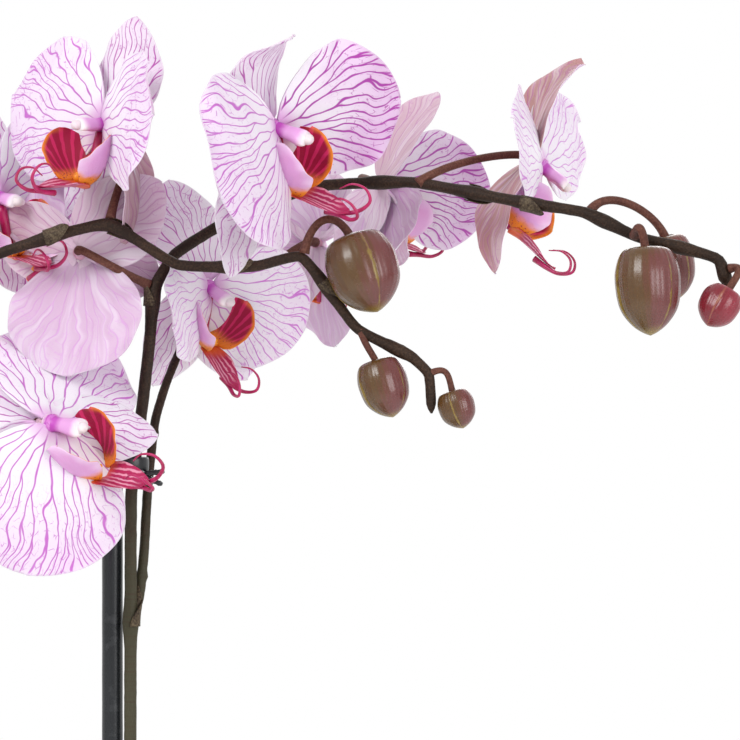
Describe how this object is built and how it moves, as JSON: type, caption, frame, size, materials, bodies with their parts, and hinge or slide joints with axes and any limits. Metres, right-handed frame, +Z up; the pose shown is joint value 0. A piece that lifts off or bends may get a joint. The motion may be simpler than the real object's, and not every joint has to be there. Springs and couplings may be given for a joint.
{
  "type": "potted orchid",
  "caption": "Potted moth orchid: arching staked flower spikes with veined lilac flowers and brown buds over strap leaves in a plain glazed pot of bark.",
  "frame": {"origin": "centre of the pot's flat base", "axes": "+Z up along the pot's axis and the stake, -Y towards the front, +X towards the flower buds"},
  "size_m": [0.2947, 0.3735, 0.6405],
  "materials": {
    "glaze": "smooth off-white glaze",
    "bark": "coarse conifer bark chips",
    "stake_coat": "smooth black plastic coat",
    "clip_plastic": "fine moulded black plastic",
    "crown_tissue": "fibrous green-brown plant base",
    "leaf": "thick, waxy, with a sunk midrib",
    "root": "silvery spongy root skin with green tips",
    "stem": "dark olive-brown stem with pale flecks",
    "sepal": "pale lilac with magenta veins, brownish pink behind",
    "petal": "white to lilac with forked magenta veins",
    "column": "magenta pink with a cream cap",
    "lip": "crimson, orange and lilac, striped",
    "bud": "glossy brown-mauve bud with olive seams",
    "bud_tip": "glossy crimson bud"
  },
  "bodies": {
    "root": {"pot": "glaze", "bark": "bark", "stake": "stake_coat", "clip": "clip_plastic", "crown": "crown_tissue", "main_spike": "stem", "second_spike": "stem", "side_branch": "stem", "leaf_1": "leaf", "leaf_2": "leaf", "leaf_3": "leaf", "leaf_4": "leaf", "leaf_5": "leaf", "root_1": "root", "root_2": "root", "root_3": "root", "flower_1_sepals": "sepal", "flower_1_petals": "petal", "flower_1_column": "column", "flower_1_lip": "lip", "flower_2_sepals": "sepal", "flower_2_petals": "petal", "flower_2_column": "column", "flower_2_lip": "lip", "flower_3_sepals": "sepal", "flower_3_petals": "petal", "flower_3_column": "column", "flower_3_lip": "lip", "flower_4_sepals": "sepal", "flower_4_petals": "petal", "flower_4_column": "column", "flower_4_lip": "lip", "flower_5_sepals": "sepal", "flower_5_petals": "petal", "flower_5_column": "column", "flower_5_lip": "lip", "flower_6_sepals": "sepal", "flower_6_petals": "petal", "flower_6_column": "column", "flower_6_lip": "lip", "flower_7_sepals": "sepal", "flower_7_petals": "petal", "flower_7_column": "column", "flower_7_lip": "lip", "flower_8_sepals": "sepal", "flower_8_petals": "petal", "flower_8_column": "column", "flower_8_lip": "lip", "flower_9_sepals": "sepal", "flower_9_petals": "petal", "flower_9_column": "column", "flower_9_lip": "lip", "bud_1": "bud", "bud_2": "bud", "bud_3": "bud", "bud_4": "bud", "bud_5": "bud", "bud_6": "bud_tip"}
  },
  "joints": []
}
